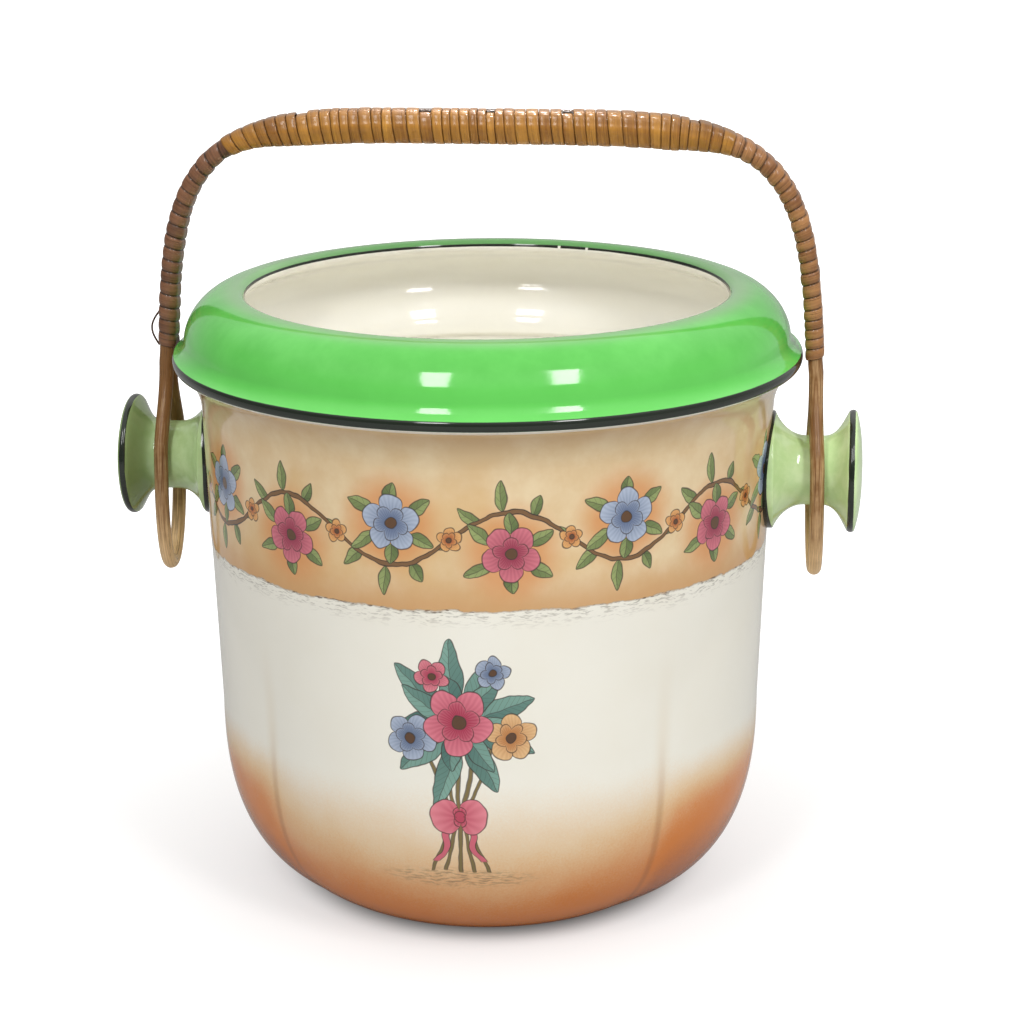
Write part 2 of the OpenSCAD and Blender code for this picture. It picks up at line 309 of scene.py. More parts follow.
def node_group(name, inputs, outputs):
    """An effect with named sockets: returns its tree, its inputs as fields, and its outlet."""
    tree = bpy.data.node_groups.new(name, "ShaderNodeTree")
    for label, start in inputs.items():
        socket = tree.interface.new_socket(label, in_out="INPUT", socket_type="NodeSocketFloat")
        socket.default_value = start
    for label, kind in outputs.items():
        tree.interface.new_socket(label, in_out="OUTPUT", socket_type="NodeSocket" + kind)
    inlet = tree.nodes.new("NodeGroupInput")
    outlet = tree.nodes.new("NodeGroupOutput")
    return tree, [Field(tree, inlet.outputs[label]) for label in inputs], outlet


def use_group(tree, group, **values):
    """Places an effect in a tree with its own values and returns its outputs as fields."""
    made = tree.nodes.new("ShaderNodeGroup")
    made.node_tree = group
    set_inputs(tree, made, **values)
    return {socket.name: Field(tree, socket) for socket in made.outputs}


def new_material(name, **settings):
    """A material with its Principled shader's plain values set."""
    made = bpy.data.materials.new(name)
    made.use_nodes = True
    shader = made.node_tree.nodes["Principled BSDF"]
    set_inputs(made.node_tree, shader, **settings)
    return made, made.node_tree, shader


def add_bump(tree, shader, height, depth):
    """Turns a height from 0 to 1 into relief of the given depth in millimetres."""
    made = tree.nodes.new("ShaderNodeBump")
    set_inputs(tree, made, Distance=depth * MM, Height=height)
    tree.links.new(made.outputs[0], shader.inputs["Normal"])


# The skin of the glaze, shared by all the ceramic: long waves, orange peel, pinholes, dull patches
glaze_skin, _, outlet = node_group(
    "glaze_skin", {}, {"Roughness": "Float", "Relief": "Float", "Pinholes": "Float"})
at = surface_mm(glaze_skin)
wave_size = 34.0
peel_size = 1.6
dull_size = 22.0
pit_spacing = 9.0
waves = noise(glaze_skin, at, wave_size, 1.0)
peel = noise(glaze_skin, at, peel_size, 2.0)
dull = noise(glaze_skin, at, dull_size, 4.0, 0.65)
cells = glaze_skin.nodes.new("ShaderNodeTexVoronoi")
set_inputs(glaze_skin, cells, Vector=at, Scale=1 / pit_spacing)
pit_size = noise(glaze_skin, at, 14.0).step(0.58, 0.80) * 0.05
pits = Field(glaze_skin, cells.outputs["Distance"]).math("LESS_THAN", pit_size)
set_inputs(glaze_skin, outlet, Roughness=dull.step(0.35, 0.85) * 0.10 + 0.06,
           Relief=waves * 0.40 + peel * 0.03 - pits * 0.05, Pinholes=pits)

# The tan wash behind the frieze, shared by the body and the collar's neck
tan_wash, _, outlet = node_group("tan_wash", {}, {"Color": "Color"})
at = surface_mm(tan_wash)
wash_cloud = noise(tan_wash, at, 22.0, 4.0, 0.6).step(0.3, 0.75)
wash_warm = noise(tan_wash, at, 48.0, 2.0).step(0.48, 0.72)
wash_color = mix(tan_wash, wash_cloud, rgb(226, 196, 150), rgb(238, 216, 176))
wash_color = mix(tan_wash, wash_warm * 0.6, wash_color, rgb(220, 176, 112))
set_inputs(tan_wash, outlet, Color=wash_color)

# A drawn blossom about its centre: two rings of petals in ink round a heart. Pinch is the share of
# its radius left between two petals, so two pinched petals make a bow
blossom, (u, v, size, petals, pinch, turn), outlet = node_group(
    "blossom", {"U": 0.0, "V": 0.0, "Size": 10.0, "Petals": 5.0, "Pinch": 0.66, "Turn": 0.0},
    {"Fill": "Float", "Ink": "Float", "Heart": "Float", "Shade": "Float", "Glow": "Float"})
r = (u * u + v * v) ** 0.5
bearing = (v.math("ARCTAN2", u) + turn) * petals * 0.5
lobe = abs(bearing.math("COSINE"))
outer_edge = size * (lobe ** 0.7 * pinch.from_(1.0) + pinch) - r
inner_edge = size * (abs(bearing.math("SINE")) ** 0.7 * 0.24 + pinch * 0.56) - r
fill = outer_edge.step(-0.12, 0.12)
splits = (lobe * r / petals * 2.0).step(0.34, 0.10) * inner_edge.step(0.0, -0.3) * fill
heart_edge = r - size * 0.2
lines = abs(outer_edge).step(0.42, 0.14).math("MAXIMUM", abs(inner_edge).step(0.34, 0.10) * fill)
lines = lines.math("MAXIMUM", splits).math("MAXIMUM", abs(heart_edge).step(0.34, 0.10))
streaks = (bearing * 14.0).math("SINE") * 0.10
shade = r / size * 0.9 - inner_edge.step(-0.4, 1.6) * 0.25 + streaks + 0.1
set_inputs(blossom, outlet, Fill=fill, Ink=lines, Heart=heart_edge.step(0.1, -0.1), Shade=shade,
           Glow=r.step(size * 2.1, size * 0.8))

# Drawn leaves spread evenly about a centre, each of its own length and bend, with rib and veins
leaves, (u, v, count, start, length, width, turn), outlet = node_group(
    "leaves",
    {"U": 0.0, "V": 0.0, "Count": 5.0, "Start": 5.0, "Length": 10.0, "Width": 3.0, "Turn": 0.0},
    {"Fill": "Float", "Ink": "Float", "Shade": "Float"})
r = (u * u + v * v) ** 0.5
spacing = (count ** -1.0) * (2 * math.pi)
order = (v.math("ARCTAN2", u) - turn) / spacing + 0.5
luck = leaves.nodes.new("ShaderNodeTexWhiteNoise")
luck.noise_dimensions = "1D"
feed(leaves, luck.inputs["W"], order.math("FLOOR") % count)
luck = Field(leaves, luck.outputs["Value"])
off = (order.math("FRACT") - 0.5) * spacing
long = length * (luck * 0.4 + 0.7)
p = (r * off.math("COSINE") - start) / long
q = r * off.math("SINE") + p * p * (luck - 0.5) * long * 0.3
half = (p * p.from_(1.0)).math("MAXIMUM", 0.0) ** 0.75 * width * (p * -0.5 + 1.25) * 2.0
inside = half - abs(q)
within = p.step(-0.01, 0.01) * p.step(1.01, 0.99)
fill = inside.step(-0.12, 0.12) * within
veins = ((p * long - abs(q) * 1.1) * 2.1).math("SINE").step(0.88, 0.99) * fill * 0.45
ribs = abs(q).step(0.32, 0.08) * fill * 0.8
lines = (abs(inside).step(0.40, 0.12) * within).math("MAXIMUM", ribs)
shade = q.step(-0.7, 0.7) * 0.45 + p * 0.3 + luck * 0.3
set_inputs(leaves, outlet, Fill=fill, Ink=lines.math("MAXIMUM", veins), Shade=shade)

ink = rgb(58, 48, 42)


def paint(tree, color, motif, dark, light, heart=None):
    """Lays a drawn motif over a colour: its fill between two tones, its heart, then its ink."""
    color = mix(tree, motif["Fill"], color, mix(tree, motif["Shade"], dark, light))
    if heart:
        color = mix(tree, motif["Heart"], color, heart)
    return mix(tree, motif["Ink"] * 0.8, color, ink)


glaze_ior = 1.52
inside_cream = rgb(250, 248, 239)
inside_aged = rgb(246, 243, 231)
ivory = rgb(247, 244, 232)
ivory_aged = rgb(243, 238, 222)
glaze, tree, shader = new_material("body_glaze_painted", IOR=glaze_ior)
at = surface_mm(tree)
x, y, height = parts_of(tree, at)
sway = (noise(tree, at, 9.0, 1.0) - 0.5) * 2.6
bob = (noise(tree, at, 7.0, 1.0) - 0.5) * 2.6
u = x.math("ARCTAN2", y * -1.0) * shoulder_r + sway
v = height + bob
cloud = noise(tree, at, 40.0, 3.0).step(0.3, 0.8)
inside_color = mix(tree, cloud * 0.5, inside_cream, inside_aged)
color = mix(tree, cloud * 0.5, ivory, ivory_aged)

# The sprayed foot, browner on the left flank as painted shade, and tan and brown along the creases
# low down
front_lift = 30.0
flank_lift = 16.0
left_shade_lift = 5.0
spray_pale = rgb(234, 190, 128)
spray_orange = rgb(222, 131, 52)
spray_brown = rgb(176, 98, 52)
mist = noise(tree, at, 30.0, 3.0, 0.55)
spatter = noise(tree, at, 0.9, 2.0, 0.6)
flank = x * x / (x * x + y * y)
side_lift = x * x * (front_lift / shoulder_r ** 2) + flank.step(0.46, 0.62) * flank_lift
# Painted shade: the spray reaches higher on the left flank, so the left side is browner
side_lift = (side_lift + x.step(-60.0, -110.0) * left_shade_lift) * height.step(92.0, 56.0)
spray = height - side_lift + (mist - 0.5) * 18.0 + (spatter - 0.5) * 13.0
quarter = math.pi / 2
crease = abs((x.math("ARCTAN2", y) / quarter).math("FRACT") - 0.5) * (quarter * shoulder_r)
# Darker tan and brown along the creases, low down on the body
crease_tint = crease.step(7.0, 0.0) * height.step(150.0, 60.0) * 0.3
crease_line = crease.step(3.4, 0.4) * height.step(100.0, 45.0) * 0.4
color = mix(tree, crease_tint, color, rgb(224, 200, 160))
color = mix(tree, spray.step(88.0, 40.0) * 0.8, color, spray_pale)
color = mix(tree, spray.step(54.0, 13.0), color, spray_orange)
color = mix(tree, spray.step(14.0, -12.0) * 0.8, color, spray_brown)
color = mix(tree, crease_line, color, rgb(164, 98, 52))

# The posy: two rings of teal leaves, five blossoms, and stems tied with a pink bow
posy_u = (u + shoulder_r * math.pi / 2) % (shoulder_r * math.pi) - shoulder_r * math.pi / 2 - 2.0
posy_height = 113.0
tie_height = 71.0
ground_height = 41.0
teal_dark = rgb(58, 100, 94)
teal_light = rgb(132, 172, 158)
ribbon_dark = rgb(190, 70, 94)
ground = (posy_u / 42.0) ** 2.0 + ((v - ground_height) / 6.0) ** 2.0
strokes = noise(tree, vector_of(tree, u * 0.25, v * 1.4, 0.0), 1.3, 3.0, 0.6).step(0.42, 0.66)
color = mix(tree, ground.step(1.0, 0.1) * strokes * 0.55, color, rgb(112, 88, 62))
fan = abs(v - tie_height) * 0.2 + 1.2
stem_order = posy_u / fan
stem_off = abs((stem_order + 0.5).math("FRACT") - 0.5) * fan
stem_part = abs(stem_order).step(2.6, 2.4) * v.step(44.0, 45.0) * v.step(106.0, 104.0)
color = mix(tree, stem_off.step(1.15, 0.85) * stem_part * 0.85, color, ink)
color = mix(tree, stem_off.step(0.75, 0.45) * stem_part, color, rgb(128, 112, 70))
tail_off = abs(abs(posy_u) - ((v.from_(tie_height)) * 0.34 + (v * 0.42).math("SINE") * 1.2 + 2.4))
tail_part = v.step(49.0, 50.0) * v.step(tie_height + 1, tie_height)
color = mix(tree, tail_off.step(1.9, 1.6) * tail_part * 0.85, color, ink)
color = mix(tree, tail_off.step(1.5, 1.2) * tail_part, color, rgb(214, 104, 122))
posy_leaves = ((9.0, 8.0, 29.0, 7.5, 0.35), (7.0, 6.0, 22.0, 6.5, 0.85))
for count, start, length, width, turn in posy_leaves:
    motif = use_group(tree, leaves, U=posy_u, V=v - posy_height, Count=count, Start=start,
                      Length=length, Width=width, Turn=turn)
    color = paint(tree, color, motif, teal_dark, teal_light)
posy_blossoms = (
    (-11.0, 134.0, 7.5, 0.4, rgb(176, 60, 86), rgb(222, 132, 144)),
    (15.0, 136.0, 7.5, 1.1, rgb(96, 112, 142), rgb(170, 182, 202)),
    (-21.0, 106.0, 11.0, 0.2, rgb(96, 112, 142), rgb(176, 188, 208)),
    (23.0, 107.0, 11.0, 0.9, rgb(188, 122, 66), rgb(232, 190, 138)),
    (0.0, 114.0, 15.5, 0.3, rgb(168, 46, 76), rgb(224, 126, 142)))
for across, up, size, turn, dark, light in posy_blossoms:
    motif = use_group(tree, blossom, U=posy_u - across, V=v - up, Size=size, Turn=turn)
    color = paint(tree, color, motif, dark, light, rgb(92, 62, 40))
motif = use_group(tree, blossom, U=posy_u, V=v - tie_height, Size=13.0, Petals=2.0, Pinch=0.2)
color = paint(tree, color, motif, ribbon_dark, rgb(232, 138, 150), ribbon_dark)

# The frieze: a running briar stem with a blossom in each bend and a bud at each crossing
band_low = 163.0
frieze_mid = 194.0
bend = 2 * math.pi * shoulder_r / 16
leaf_dark = rgb(84, 104, 56)
leaf_light = rgb(158, 172, 108)
heart_brown = rgb(96, 66, 40)
ragged = noise(tree, at, 10.0, 3.0, 0.6)
band_edge = height + (ragged - 0.5) * 5.0 - band_low
frieze = use_group(tree, tan_wash)["Color"]
frieze = mix(tree, band_edge.step(20.0, 0.0) * 0.75, frieze, rgb(206, 152, 94))
bend_order = u / bend
flip = bend_order.math("FLOOR") % 2.0
bend_u = (bend_order.math("FRACT") - 0.5) * bend
bend_v = (v - frieze_mid) * (flip * -2.0 + 1.0)
briar = bend_v - (bend_u * (math.pi / bend)).math("COSINE") * 12.0
motif = use_group(tree, blossom, U=bend_u, V=bend_v + 6.0, Size=12.5, Turn=0.3)
frieze = mix(tree, motif["Glow"] * 0.75, frieze, rgb(218, 142, 78))
outside = use_group(tree, leaves, U=bend_u, V=bend_v + 2.0, Count=8.0, Start=15.0, Length=12.0,
                    Width=3.6, Turn=0.2)
outside = {label: part * briar.step(0.2, 0.6) for label, part in outside.items()}
frieze = paint(tree, frieze, outside, leaf_dark, leaf_light)
frieze = mix(tree, abs(briar).step(1.35, 1.0), frieze, ink)
frieze = mix(tree, abs(briar).step(0.9, 0.6), frieze, rgb(126, 92, 58))
behind = use_group(tree, leaves, U=bend_u, V=bend_v + 6.0, Count=6.0, Start=9.0, Length=12.0,
                   Width=4.0, Turn=0.5)
frieze = paint(tree, frieze, behind, leaf_dark, leaf_light)
petal_dark = mix(tree, flip, rgb(150, 48, 74), rgb(92, 108, 140))
petal_light = mix(tree, flip, rgb(212, 118, 132), rgb(178, 190, 210))
frieze = paint(tree, frieze, motif, petal_dark, petal_light, heart_brown)
bud_u = ((bend_order + 0.5).math("FRACT") - 0.5) * bend
motif = use_group(tree, blossom, U=bud_u, V=v - frieze_mid, Size=5.2, Turn=0.9)
frieze = paint(tree, frieze, motif, rgb(176, 92, 44), rgb(232, 176, 110), heart_brown)
hatch = noise(tree, vector_of(tree, u * 0.3, v * 1.6, 4.0), 1.2, 2.0, 0.6).step(0.50, 0.64)
color = mix(tree, band_edge.step(-9.0, 0.0) * hatch * 0.5, color, rgb(112, 100, 84))
color = mix(tree, band_edge.step(-0.4, 0.6), color, frieze)
edge_line = abs(band_edge).step(0.7, 0.2) * hatch.math("MAXIMUM", 0.35) * 0.8
color = mix(tree, edge_line, color, rgb(84, 64, 46))

along = attribute(tree, "outline_mm")
outline_at = run_length(body_outline)
outer_start = outline_at[outer_rows[0]]
outer_end = outline_at[outer_rows[-1]]
outer = along.step(outer_start - 0.4, outer_start) * along.step(outer_end + 0.4, outer_end)
skin = use_group(tree, glaze_skin)
color = mix(tree, outer, inside_color, color)
color = mix(tree, skin["Pinholes"] * 0.5, color, rgb(90, 70, 50))
set_inputs(tree, shader, Base_Color=color, Roughness=skin["Roughness"])
add_bump(tree, shader, skin["Relief"], 0.35)
pail.data.materials.append(glaze)
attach(pail, "jar")
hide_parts("jar_body")

# Rim collar: the thick ring thrown apart and luted on the neck, with an overhanging lip, a round
# crown and an inside that is hollowed under the rim. It has a green gloss glaze and black banding
# lines outside, and is cream inside. Its crest is paler at the front as a painted reflection, and
# its crown is lighter just above the flare as painted light.
rim_height = 274.2
lip_height = 244.6
collar_r = 139.95
mouth_r = 107.0
neck_out = np.array((neck_r, neck_height))
lip_low = np.array((collar_r - 1.4, lip_height - 2.6))
lip_top = np.array((collar_r - 0.6, lip_height + 2.2))
crown_foot = np.array((collar_r - 5.5, lip_height + 9.0))
crest = np.array((mouth_r + 3.9, rim_height))
mouth_edge = np.array((mouth_r, rim_height - 3.4))
hollow = np.array((130.0, lip_height + 6.0))
bead = np.array((118.5, neck_height + 3.0))
neck_in = np.array((neck_r - wall, neck_height))
collar_curves = {
    "under": (neck_out, neck_out + (0.5, 8), lip_low - (5.6, 2), lip_low),
    "lip": (lip_low, (collar_r + 0.1, lip_low[1] + 0.5), (collar_r + 0.4, lip_height + 1), lip_top),
    "flare": (lip_top, lip_top + (-2.4, 1), crown_foot + (0.4, -3), crown_foot),
    "crown": (crown_foot, crown_foot + (-0.5, 8), crest + (15.4, 0), crest),
    "mouth": (crest, crest - (1.95, 0), mouth_edge + (0, 2), mouth_edge),
    "roof": (mouth_edge, mouth_edge - (0, 6), hollow + (0, 14), hollow),
    "slope": (hollow, hollow - (0, 6), bead + (0, 9), bead),
    "ledge": (bead, bead - (0, 1.5), neck_in + (-1, 1), neck_in),
}
collar_outline = [neck_out]
curve_end = {}
for curve, ends in collar_curves.items():
    collar_outline += bezier(*ends, 12)
    curve_end[curve] = run_length(collar_outline)[-1]
collar = revolve("collar_ring", collar_outline, body_columns, closed=True)


def banding_line(along, start, end, wobble):
    """A hand-banded line between two places on an outline, with uneven edges."""
    soft = 0.15
    begun = (along + wobble).step(start - soft, start + soft)
    return begun * (along - wobble).step(end + soft, end - soft)


green_glaze, tree, shader = new_material("collar_glaze_green", IOR=glaze_ior)
line_black = rgb(30, 38, 28)
at = surface_mm(tree)
x, y, height = parts_of(tree, at)
along = attribute(tree, "outline_mm")
hand = (noise(tree, at, 30.0, 2.0) - 0.5) * 1.2
pool = noise(tree, at, 26.0, 4.0, 0.6).step(0.3, 0.75)
green = mix(tree, pool, rgb(88, 188, 76), rgb(102, 202, 90))
# Painted reflection: the crest's green is paler and greyer at the front and darker at the back
crest_painted_reflection = mix(tree, y.step(30.0, 105.0), rgb(142, 178, 131), rgb(96, 142, 86))
# Painted light: the green is lighter on the crown just above the flare, where the surface turns
# from the lamps
painted_light_above_flare = along.step(curve_end["flare"] + 14.0, curve_end["flare"])
near_crest = along.step(curve_end["crown"] - 12.0, curve_end["crown"])
green = mix(tree, painted_light_above_flare * 0.6, green, rgb(106, 212, 95))
green = mix(tree, near_crest * 0.75, green, crest_painted_reflection)
cloud = noise(tree, at, 40.0, 3.0).step(0.3, 0.8)
color = mix(tree, cloud * 0.5, inside_cream, inside_aged)
neck_tan = use_group(tree, tan_wash)["Color"]
# The neck is browner towards the lip: partly a painted border, partly painted shade under the
# overhang
neck_tan = mix(tree, height.step(229.0, 240.0) * 0.3, neck_tan, rgb(186, 138, 88))
color = mix(tree, along.step(curve_end["under"] - 2.0, curve_end["under"] - 2.6), color, neck_tan)
lip_start = curve_end["under"] + 1.1
mouth_line = curve_end["mouth"] - 1.5
nick_bearings = (168.3, 160.8)
green_part = banding_line(along, lip_start, mouth_line, hand * 0.2)
lip_band = banding_line(along, lip_start, curve_end["lip"] + 0.2, hand * 0.4)
mouth_band = banding_line(along, mouth_line - 0.2, mouth_line + 1.1, hand * 0.4)
for turn in nick_bearings:
    nick = x.math("ARCTAN2", y * -1.0) - math.radians(turn)
    mouth_band = mouth_band * abs(nick * mouth_r).step(0.5, 0.8)
color = mix(tree, green_part, color, green)
color = mix(tree, lip_band, color, line_black)
color = mix(tree, mouth_band, color, line_black)
skin = use_group(tree, glaze_skin)
color = mix(tree, skin["Pinholes"] * 0.5, color, rgb(210, 232, 190))
set_inputs(tree, shader, Base_Color=color, Roughness=skin["Roughness"])
add_bump(tree, shader, skin["Relief"], 0.3)
collar.data.materials.append(green_glaze)
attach(collar, "jar")
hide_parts("rim_collar")

# Knobs: two turned ceramic spools luted on the jar's sides, each with a straight neck for the
# bail's loop. A thin yellow-green glaze, with a black line round the flange and round the foot. The
# left knob is painted darker than the right, and darker still from its flange outwards, as painted
# shade.
knob_height = 193.0
knob_neck_r = 15.5
knob_flange_r = 27.3
knob_foot_r = 26.3
seat_x = 123.06
foot_out = wall_r(knob_height) + 1.5
loop_x = 145.85
neck_half = 4.1
flange_at = loop_x + 17.0
knob_end = flange_at + 4.5
foot_edge = np.array((knob_foot_r, foot_out))
neck_start = np.array((knob_neck_r, loop_x - neck_half))
neck_end = np.array((knob_neck_r, loop_x + neck_half))
flange_in = np.array((knob_flange_r - 0.9, flange_at - 2))
flange_out = np.array((knob_flange_r - 1, flange_at + 1.6))
foot_side = foot_edge - (0, 0.6)
foot_top = foot_edge + (-1, 0.5)
knob_outline = [(0.0, seat_x), (knob_foot_r - 0.5, seat_x), (knob_foot_r, seat_x + 0.5), foot_side]
knob_outline += bezier(foot_side, foot_edge + (0, 0.3), foot_edge + (-0.6, 0.25), foot_top, 3)
knob_outline += bezier(foot_top, foot_edge + (-4.5, 2), neck_start - (0, 7), neck_start, 14)
knob_outline += line(neck_start, neck_end, 4)
knob_outline += bezier(neck_end, neck_end + (0, 5.5), flange_in - (6, 3.2), flange_in, 14)
knob_outline += bezier(flange_in, (knob_flange_r + 0.3, flange_at - 1),
                       (knob_flange_r + 0.3, flange_at + 0.8), flange_out, 8)
knob_outline += bezier(flange_out, (knob_flange_r * 0.7, knob_end - 0.6),
                       (knob_flange_r * 0.35, knob_end), (0.0, knob_end), 12)

knob_glaze, tree, shader = new_material("knob_glaze_green", IOR=glaze_ior)
at = surface_mm(tree)
x, y, _ = parts_of(tree, at)
out = abs(x)
hand = (noise(tree, at, 14.0, 2.0) - 0.5) * 1.4
thin = noise(tree, at, 9.0, 4.0, 0.6).step(0.3, 0.75)
# Painted shade: the left knob is a darker copy of the right one's green, darker still from its
# flange outwards
left_shaded_color = mix(tree, thin, rgb(180, 210, 146), rgb(200, 226, 168))
left_shaded_color = mix(tree, out.step(148.0, 156.0) * 0.8, left_shaded_color, rgb(118, 140, 84))
right_lit_color = mix(tree, thin, rgb(202, 234, 164), rgb(224, 248, 190))
color = mix(tree, x.math("GREATER_THAN", 0.0), left_shaded_color, right_lit_color)
flange_line = banding_line(out, flange_at - 1.7, flange_at + 0.8, hand * 0.5)
color = mix(tree, flange_line, color, line_black)
lobe_r = wall_r(knob_height) - lobe_shift
over_wall = out - lobe_shift - (y * y).from_(lobe_r * lobe_r) ** 0.5
color = mix(tree, (over_wall + hand * 0.4).step(2.1, 1.8), color, line_black)
skin = use_group(tree, glaze_skin)
set_inputs(tree, shader, Base_Color=color, Roughness=skin["Roughness"])
add_bump(tree, shader, skin["Relief"], 0.3)
for side, hand_name in ((-1, "left"), (1, "right")):
    knob = revolve("knob_" + hand_name, knob_outline, 128,
                   place=lambda px, py, pz, side=side: (side * pz, px, knob_height + py))
    knob.data.materials.append(knob_glaze)
    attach(knob, "jar")
    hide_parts(hand_name + "_knob")

# Bow cane: one long rattan rod, steamed and bent into a flattened ring. Its two sides run front and
# back through the arch, and its two ends are the open loops that hang on the knobs.
cane_r = 3.2
lie_gap = 0.25
bow_x = loop_x
bow_z = knob_height + 32.0
bow_rise = 121.7
bow_power = 5.0
bow_taper = 0.065
strand_y = cane_r + lie_gap / 2
loop_half = knob_neck_r + 0.6 + cane_r
loop_drop = {-1: 51.0, 1: 45.0}
loop_lean = {-1: 1.8, 1: 1.0}
loop_twist = {-1: 0.025, 1: 0.065}
wrap_up = 17.0
wrap_from = math.degrees(math.atan2(wrap_up, bow_x))
rod_sides = 20


def smooth(t):
    t = min(1.0, max(0.0, t))
    return t * t * (3 - 2 * t)


def unit(way):
    return way / np.linalg.norm(way)


def bow_at(f):
    """Point of the arch at an angle f: 0 at the right spring, 90 at the top, 180 at the left."""
    c, s = math.cos(math.radians(f)), math.sin(math.radians(f))
    r = ((abs(c) / bow_x) ** bow_power + (abs(s) / bow_rise) ** bow_power) ** (-1 / bow_power)
    up = max(0.0, r * s / bow_rise)
    return np.array((r * c * (1 - bow_taper * up ** 1.5), 0.0, bow_z + r * s))


def bow_normal(f):
    """The way out of the arch at f."""
    t = unit(bow_at(f + 0.05) - bow_at(f - 0.05))
    return np.array((t[2], 0.0, -t[0]))


def skin_rings(name, rings, **values):
    """A closed solid through rings of equally many points, capped at both ends."""
    count = len(rings[0])
    points = [p for ring in rings for p in ring]
    faces = [list(range(count)), list(range((len(rings) - 1) * count, len(rings) * count))]
    for i in range(len(rings) - 1):
        for j in range(count):
            k = (j + 1) % count
            faces.append([i * count + j, i * count + k, (i + 1) * count + k, (i + 1) * count + j])
    return add_piece(name, points, faces, **values)


def rod(name, path, side_way, radius):
    """A round cane along a path, with the distance along and round it kept for its grain."""
    rings, along, round_at = [], [], []
    lengths = run_length(path)
    for i, centre in enumerate(path):
        t = unit(path[min(i + 1, len(path) - 1)] - path[max(i - 1, 0)])
        e1 = unit(np.cross(side_way(i), t))
        e2 = np.cross(t, e1)
        turns = [2 * math.pi * j / rod_sides for j in range(rod_sides)]
        rings.append([centre + radius * (math.cos(a) * e1 + math.sin(a) * e2) for a in turns])
        along += [lengths[i]] * rod_sides
        round_at += [abs(a - math.pi) * cane_r for a in turns]
    return skin_rings(name, rings, along_mm=along, across_mm=round_at, turn_tint=[0.5] * len(along))


def strand(start, end, side):
    return [bow_at(start + (end - start) * i / 70) + (0, side * strand_y, 0) for i in range(71)]


def loop(side, first):
    """A loop round a knob, from the strand on its first y side down, round and up to the other."""
    z_top = bow_z + wrap_up - 3
    z_wide = knob_height + 4
    z_turn = knob_height - 10
    turn_drop = loop_drop[side] - 10
    down = []
    for i in range(1, 21):
        t = i / 20
        across = strand_y + (loop_half - strand_y) * smooth(t ** 1.3)
        down.append((across, z_top + (z_wide - z_top) * t))
    down += [tuple(p) for p in line((loop_half, z_wide), (loop_half, z_turn), 5)]
    for turn in range(5, 91, 5):
        a = math.radians(turn)
        down.append((loop_half * math.cos(a), z_turn - turn_drop * math.sin(a)))

    def leaning(across, up):
        """The loop leans out on its way down, and is twisted a little out of its plane."""
        lean = loop_lean[side] * (z_top - up) / (z_top - down[-1][1])
        twist = loop_twist[side] * smooth((z_top - up) / (z_top - z_wide)) * across
        return np.array((side * (bow_x + lean) - twist, across, up))

    there = [leaning(first * across, up) for across, up in down]
    back = [leaning(-first * across, up) for across, up in down[-2::-1]]
    return there + back


bow_path = strand(90.3, 180 - wrap_from, -1) + loop(-1, -1) + strand(180 - wrap_from, wrap_from, 1)
bow_path += loop(1, 1) + strand(wrap_from, 89.7, -1)


def bow_side(i):
    """The way in that the rod's section faces, level in the loops and square to the arch above."""
    p = bow_path[i]
    if p[2] < bow_z + wrap_up:
        return np.array((-math.copysign(1.0, p[0]), 0.0, 0.0))
    return -bow_normal(math.degrees(math.atan2(p[2] - bow_z, p[0])))


bow = rod("bow_rod", bow_path, bow_side, cane_r)

# Grain of cane, shared by every rod and strip: long fibres and dark pores, its own in every tint
cane_grain, (along, across, tint), outlet = node_group(
    "cane_grain", {"Along": 0.0, "Across": 0.0, "Tint": 0.5},
    {"Fibres": "Float", "Pores": "Float", "Relief": "Float"})
fibre_at = vector_of(cane_grain, along * 0.035 + tint * 37.0, across, tint * 91.0)
streak_at = vector_of(cane_grain, along * 0.05 + tint * 19.0, across, tint * 47.0)
pore_at = vector_of(cane_grain, along * 0.012, across * 1.3, tint * 53.0)
fibres = noise(cane_grain, fibre_at, 0.55, 3.0, 0.65)
fibres = fibres * 0.5 + noise(cane_grain, streak_at, 1.7, 2.0, 0.6) * 0.5
pores = noise(cane_grain, pore_at, 0.3, 2.0).step(0.60, 0.72)
set_inputs(cane_grain, outlet, Fibres=fibres.step(0.30, 0.70), Pores=pores,
           Relief=fibres * 0.7 - pores * 0.5)


